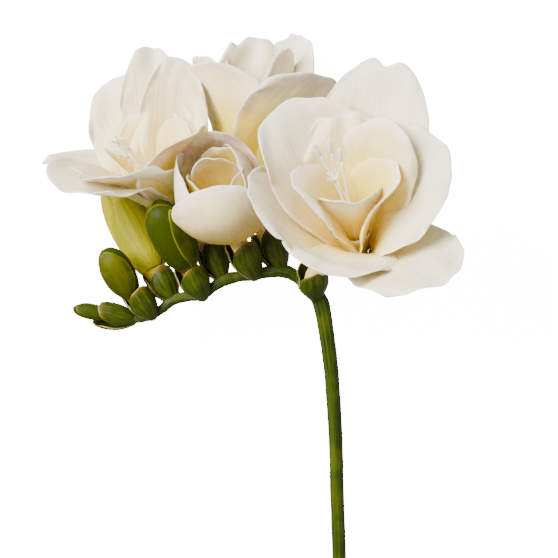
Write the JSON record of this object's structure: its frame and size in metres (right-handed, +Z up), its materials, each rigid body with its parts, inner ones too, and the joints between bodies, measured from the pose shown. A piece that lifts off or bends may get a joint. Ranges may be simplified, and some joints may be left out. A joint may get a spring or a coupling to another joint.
{
  "type": "freesia stem",
  "caption": "Cut stem of a white double freesia, lying down, with open blooms, closed green buds and bracts along a bent axis.",
  "frame": {"origin": "on the surface that the stem lies on, under the middle of the object's box", "axes": "+Z up from that surface, +Y along the stalk from its cut end to the flowers, +X to the right as seen from above"},
  "size_m": [0.1038, 0.2434, 0.0702],
  "materials": {
    "petals": "soft matt petal, white with a cream and gold throat",
    "stalk": "smooth satin green",
    "bracts": "satin dark green with dry brownish edges",
    "buds": "satin yellow green"
  },
  "bodies": {
    "root": {"bloom_1": "petals", "bloom_2": "petals", "bloom_3": "petals", "bloom_4": "petals", "bracts_1": "bracts", "bracts_2": "bracts", "bracts_3": "bracts", "bracts_4": "bracts", "bracts_5": "bracts", "bracts_6": "bracts", "bracts_7": "bracts", "bracts_8": "bracts", "bud_5": "buds", "bud_6": "buds", "bud_7": "buds", "bud_8": "buds", "stalk": "stalk"}
  },
  "joints": []
}
